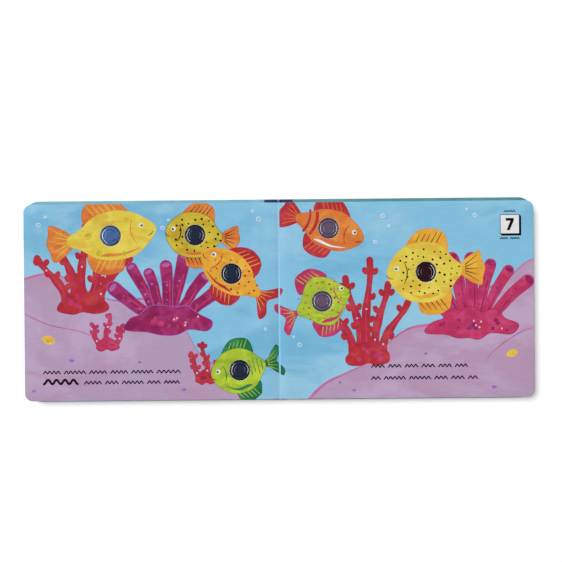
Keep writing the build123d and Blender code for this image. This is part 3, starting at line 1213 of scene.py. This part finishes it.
def strip_piece(name, path, half, thick, material, rows=24, slant=0.0):
    """A thin strip along Y whose section follows path in XZ; slant cuts its ends back as it rises."""
    count = len(path)
    normals = []
    for i in range(count):
        ax, az = path[max(i - 1, 0)]
        bx, bz = path[min(i + 1, count - 1)]
        long = math.hypot(bx - ax, bz - az) or 1
        normals.append(((bz - az) / long, -(bx - ax) / long))
    section = list(path) + [
        (x + n[0] * thick, z + n[1] * thick) for (x, z), n in zip(reversed(path), reversed(normals))
    ]
    size = len(section)
    verts = [
        (x, (half - slant * max(0.0, z - BOARD_T)) * (2 * r / rows - 1), z)
        for r in range(rows + 1)
        for x, z in section
    ]
    faces = [
        (r * size + i, r * size + (i + 1) % size, (r + 1) * size + (i + 1) % size, (r + 1) * size + i)
        for r in range(rows)
        for i in range(size)
    ]
    faces += [tuple(range(size))[::-1], tuple(rows * size + i for i in range(size))]
    piece = add_piece(name, verts, faces, material)
    shape = bmesh.new()
    shape.from_mesh(piece.data)
    bmesh.ops.recalc_face_normals(shape, faces=shape.faces)
    shape.to_mesh(piece.data)
    shape.free()
    piece.data.set_sharp_from_angle(angle=math.radians(35))
    return piece


# ---------------------------------------------------------------- operators


def case_inks(inks):
    """The case's printed colours, added to the spread's."""
    look = bpy.context.scene.book_case
    for key, rgb, patches in (
        ("wrap_left", look.wrap_left, 0.03), ("wrap_right", look.wrap_right, 0.03),
        ("navy", look.navy, 0.05), ("outside", look.outside, 0.012),
        ("wave", look.outside_deep, 0.03), ("endpaper", look.endpaper, 0.02),
    ):
        base = tuple(rgb)
        pale, deep = shifted(base, 1.12, (0.01, 0.01, 0.01)), shifted(base, 0.86)
        inks[key] = print_material(key.replace("_", " "), base, pale, deep, patches)
    return inks


INKS = {}


def inks():
    """Every printed colour, made at the first call."""
    if not INKS:
        INKS.update(case_inks(print_materials()))
    return INKS


class BOOK_OT_leaves(bpy.types.Operator):
    """Build both halves of the printed leaves and the crease along the gutter"""

    bl_idname = "book.leaves"
    bl_label = "Printed leaves"

    def execute(self, context):
        shapes = spread_art()
        for side in (1, -1):
            build_leaves(side, inks(), shapes)
        look = context.scene.book_leaves
        # no point on the fold line itself: each belongs to one half
        reach, nearest, steps = 0.8, 0.3, 8
        half = []
        for i in range(steps + 1):
            x = reach - (reach - nearest) * i / steps
            half.append((x, face_height(look.leaves, x, look) + 0.07 - 0.05 * (x / reach) ** 3))
        path = half + [(-x, z) for x, z in reversed(half)]
        crease = strip_piece("gutter_crease", path, PAGE_HALF - 0.3, 0.04, inks()["crease"], 40)
        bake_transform(crease)
        return {"FINISHED"}


class BOOK_OT_case(bpy.types.Operator):
    """Build both wrapped cover boards and the folded spine strip"""

    bl_idname = "book.case"
    bl_label = "Hard case"

    def execute(self, context):
        for side in (1, -1):
            build_cover(side, inks())
        bend, low, high = SPINE_HIGH.x, SPINE_LOW.z, SPINE_HIGH.z
        # no point on the fold line itself: each belongs to one leg, and the last faces span the fold
        leg = [(bend, low + (high - bend - low) * i / 10) for i in range(11)]
        for i in range(1, 8):
            a = math.pi * (i + 0.4) / 16
            leg.append((bend * math.cos(a), high - bend + bend * math.sin(a)))
        path = leg + [(-px, pz) for px, pz in reversed(leg)]
        spine = strip_piece("spine_strip", path, SPINE_HIGH.y, -0.42, inks()["navy"], 30, 0.35)
        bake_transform(spine)
        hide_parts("spine")
        return {"FINISHED"}


def cap_profile(radius, disc, top_z, page_z, low_z, flange_r):
    """Half section of a cap from its middle outwards and down to the flange, then the hollow."""
    rise = top_z - page_z
    rim_z, ring_z, foot_z = page_z + 0.05 * rise, page_z + 0.52 * rise, page_z + 0.44 * rise
    d = disc * radius

    def ease(r0, z0, r1, z1, steps):
        return [
            (r0 + (r1 - r0) * i / steps, z0 + (z1 - z0) * (3 * (i / steps) ** 2 - 2 * (i / steps) ** 3))
            for i in range(1, steps + 1)
        ]

    points = [(0, top_z)]
    points += [(d * t, top_z - 0.05 * t * t) for t in (0.3, 0.6, 0.92)]
    points += ease(d * 0.92, top_z - 0.042, d, foot_z, 10)
    points += ease(d, foot_z, radius * 0.66, ring_z, 5)
    # a round shoulder, then a flat rim
    wide, drop = radius * 0.14, ring_z - rim_z
    bend = (wide**2 + drop**2) / (2 * drop)
    for i in range(17):
        a = math.asin(wide / bend) * i / 16
        points.append((radius * 0.70 + bend * math.sin(a), ring_z - bend * (1 - math.cos(a))))
    points += ease(radius * 0.84, rim_z, radius * 0.96, rim_z - 0.04, 4)
    points += ease(radius * 0.96, rim_z - 0.04, radius, page_z - 0.35, 6)
    flange_z = page_z - 0.95
    points += [(radius, page_z - 0.6), (radius, flange_z), (flange_r, flange_z), (flange_r, low_z),
               (radius - 1.0, low_z), (radius - 1.0, page_z - 0.5), (0.6 * radius, page_z - 0.5),
               (0, page_z - 0.5)]
    return points


def cap_materials():
    """A tinted plastic for each colour of cap, by its slot."""
    made = {}
    for name in ("blue", "slate", "mauve", "maroon"):
        tint = tuple(getattr(bpy.context.scene.book_caps, name))
        # the darker tint is painted shade at the rim and round the middle disc, and the colour of the faint
        # flow marks
        values = {"Tint": tint, "Rim tint": shifted(tint, 0.22)}
        gloss = {"Specular_IOR_Level": 0.5, "Coat_Weight": 0.3, "Coat_Roughness": 0.05}
        material, node = effect_material("Cap " + name, "tint", values, 0.02, 0.02, **gloss)
        tree = material.node_tree
        read = tree.nodes.new("ShaderNodeAttribute")
        read.attribute_name = "cap_radius"
        tree.links.new(read.outputs["Fac"], node.inputs["Radius"])
        made["popper_" + name] = material
    return made


def lathe(x, y, profile, radius, turns=96):
    """A profile turned about an upright axis: points, faces, and each point's share of the radius."""
    verts, faces, reach = [(x, y, profile[0][1])], [], [0.0]
    for r, z in profile[1:-1]:
        for i in range(turns):
            a = math.tau * i / turns
            verts.append((x + r * math.cos(a), y + r * math.sin(a), z))
            reach.append(min(1.0, r / radius))
    verts.append((x, y, profile[-1][1]))
    reach.append(0.0)
    rings = len(profile) - 2
    for i in range(turns):
        j = (i + 1) % turns
        faces.append((0, 1 + i, 1 + j))
        for k in range(rings - 1):
            a, b = 1 + k * turns, 1 + (k + 1) * turns
            faces.append((a + i, b + i, b + j, a + j))
        a = 1 + (rings - 1) * turns
        faces.append((a + i, len(verts) - 1, a + j))
    return verts, faces, reach


class BOOK_OT_caps(bpy.types.Operator):
    """Build the seven moulded caps, each a lathed dome with a shoulder ring and a raised disc"""

    bl_idname = "book.caps"
    bl_label = "Click-in caps"

    def execute(self, context):
        look = context.scene.book_caps
        materials = cap_materials()
        for node in CAP_NODES:
            low, high = (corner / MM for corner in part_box(node))
            flange_r = (high.x - low.x) / 2
            radius = flange_r - CAP_FLANGE
            profile = cap_profile(radius, look.disc, high.z, PAGE_TOP, low.z, flange_r)
            verts, faces, reach = lathe(*cap_centre(node), profile, radius)
            slot = CAP_SLOT[node]
            piece = add_piece(node.replace("popper", "cap"), verts, faces, materials[slot])
            piece.data.set_sharp_from_angle(angle=math.radians(50))
            shade = piece.data.attributes.new("cap_radius", "FLOAT", "POINT")
            shade.data.foreach_set("value", reach)
            bodies = frame["record"]["behaviour"]["bodies"]
            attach(piece, next(body for body, nodes in bodies.items() if node in nodes))
            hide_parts(node)
        return {"FINISHED"}


WHITE = (1, 1, 1, 1)
SENSOR = 36.0  # the camera's sensor, in millimetres
FLOOR_REACH = 4.0  # half the floor's width, in metres
KEY_AT = (-4.5, 3.6, 8.0)
STRIP_AT = (1.1, 0.0, 0.45)
STRIP_SIZE = (0.40, 1.9)


def seen_rays(tree):
    """Whether a ray is the camera's, and whether it is the camera's, glossy or transmitted."""
    rays = tree.nodes.new("ShaderNodeLightPath").outputs
    seen = maths(tree, "MAXIMUM", rays["Is Camera Ray"], rays["Is Glossy Ray"])
    return rays["Is Camera Ray"], maths(tree, "MAXIMUM", seen, rays["Is Transmission Ray"])


def floor_material(look):
    """A matt pale floor that keeps shadows and looks plain white."""
    material = bpy.data.materials.new("Pale floor")
    material.use_nodes = True
    tree = material.node_tree
    bsdf = tree.nodes["Principled BSDF"]
    for socket, value in (("Base Color", (*look.floor, 1)), ("Roughness", 0.9), ("Specular IOR Level", 0.1)):
        bsdf.inputs[socket].default_value = value
    glow = tree.nodes.new("ShaderNodeEmission")
    both = tree.nodes.new("ShaderNodeAddShader")
    _, seen = seen_rays(tree)
    tree.links.new(maths(tree, "MULTIPLY", seen, look.floor_glow), glow.inputs["Strength"])
    tree.links.new(bsdf.outputs[0], both.inputs[0])
    tree.links.new(glow.outputs[0], both.inputs[1])
    tree.links.new(both.outputs[0], tree.nodes["Material Output"].inputs["Surface"])
    return material


def studio_world(look):
    """Even room light; plain white to the camera, and in gloss white low down and dim overhead."""
    world = bpy.data.worlds.new("Studio")
    world.use_nodes = True
    tree = world.node_tree
    room, white = tree.nodes["Background"], tree.nodes.new("ShaderNodeBackground")
    room.inputs["Color"].default_value = white.inputs["Color"].default_value = WHITE
    room.inputs["Strength"].default_value = look.room
    where = tree.nodes.new("ShaderNodeTexCoord")
    split = tree.nodes.new("ShaderNodeSeparateXYZ")
    tree.links.new(where.outputs["Generated"], split.inputs[0])
    camera, seen = seen_rays(tree)
    dimmed = spread(tree, split.outputs["Z"], 0.05, 0.30, 1.0, 0.10)
    tree.links.new(maths(tree, "MAXIMUM", dimmed, camera), white.inputs["Strength"])
    either = tree.nodes.new("ShaderNodeMixShader")
    for source, socket in zip((seen, room.outputs[0], white.outputs[0]), either.inputs):
        tree.links.new(source, socket)
    tree.links.new(either.outputs[0], tree.nodes["World Output"].inputs["Surface"])
    return world


def hang(lamp, spot, matt):
    """Place a lamp that faces the book; it lights either matt surfaces or shows in gloss."""
    holder = add_object(lamp.name, lamp)
    holder.location = spot
    track = Vector(spot).to_track_quat("Z", "Y") if matt else None
    holder.rotation_euler = track.to_euler() if matt else (0, math.atan2(spot[0], spot[2]), 0)
    holder.visible_diffuse, holder.visible_glossy = matt, not matt
    return holder


class BOOK_OT_stage(bpy.types.Operator):
    """Set out the pale floor, the soft lamps and the camera above the open book"""

    bl_idname = "book.stage"
    bl_label = "Stage"

    def execute(self, context):
        scene = context.scene
        look = scene.book_stage
        scene.view_settings.view_transform = "Standard"
        scene.world = studio_world(look)
        data = bpy.data.meshes.new("floor")
        far = FLOOR_REACH
        data.from_pydata([(-far, -far, 0), (far, -far, 0), (far, far, 0), (-far, far, 0)], [], [(0, 1, 2, 3)])
        data.materials.append(floor_material(look))
        add_object("floor", data)

        key = bpy.data.lights.new("key_lamp", "SUN")
        key.energy, key.angle = look.key, look.key_spread
        hang(key, KEY_AT, matt=True)
        # the strips light the caps alone, so covers and pages carry no streak
        shiny = bpy.data.collections.new("shiny_caps")
        for piece in bpy.data.objects:
            if piece.name.startswith("cap_"):
                shiny.objects.link(piece)
        for name, side in (("left_strip", -1), ("right_strip", 1)):
            strip = bpy.data.lights.new(name, "AREA")
            strip.shape, strip.energy = "RECTANGLE", look.strips
            strip.size, strip.size_y = STRIP_SIZE
            holder = hang(strip, (side * STRIP_AT[0], *STRIP_AT[1:]), matt=False)
            holder.light_linking.receiver_collection = shiny

        lens = bpy.data.cameras.new("camera")
        lens.sensor_width = SENSOR
        lens.lens = SENSOR * look.height / look.view_w
        lens.shift_y = -look.lift / look.view_w
        scene.camera = add_object("camera", lens)
        scene.camera.location = (look.aim_x, look.aim_y + look.lift, PAGE_TOP * MM + look.height)
        scene.camera.rotation_euler = (0, 0, look.roll)
        return {"FINISHED"}


class BOOK_PT_panel(bpy.types.Panel):
    """Lists the book's settings and the pieces to build"""

    bl_idname = "BOOK_PT_panel"
    bl_label = "Board Book"
    bl_space_type = "VIEW_3D"
    bl_region_type = "UI"
    bl_category = "Board Book"

    def draw(self, context):
        for name, _ in SETTINGS:
            box = self.layout.box()
            group = getattr(context.scene, name)
            for prop in group.bl_rna.properties:
                if prop.identifier not in ("rna_type", "name"):
                    box.prop(group, prop.identifier)
        for operator in OPERATORS:
            self.layout.operator(operator.bl_idname)


OPERATORS = (BOOK_OT_leaves, BOOK_OT_case, BOOK_OT_caps, BOOK_OT_stage)
CLASSES = (*(group for _, group in SETTINGS), *OPERATORS, BOOK_PT_panel)


def register():
    for made in CLASSES:
        bpy.utils.register_class(made)
    for name, group in SETTINGS:
        setattr(bpy.types.Scene, name, bpy.props.PointerProperty(type=group))


def unregister():
    for name, _ in SETTINGS:
        delattr(bpy.types.Scene, name)
    for made in reversed(CLASSES):
        bpy.utils.unregister_class(made)


def main():
    register()
    bpy.ops.book.leaves()
    bpy.ops.book.case()
    bpy.ops.book.caps()
    bpy.ops.book.stage()


if __name__ == "__main__":
    main()
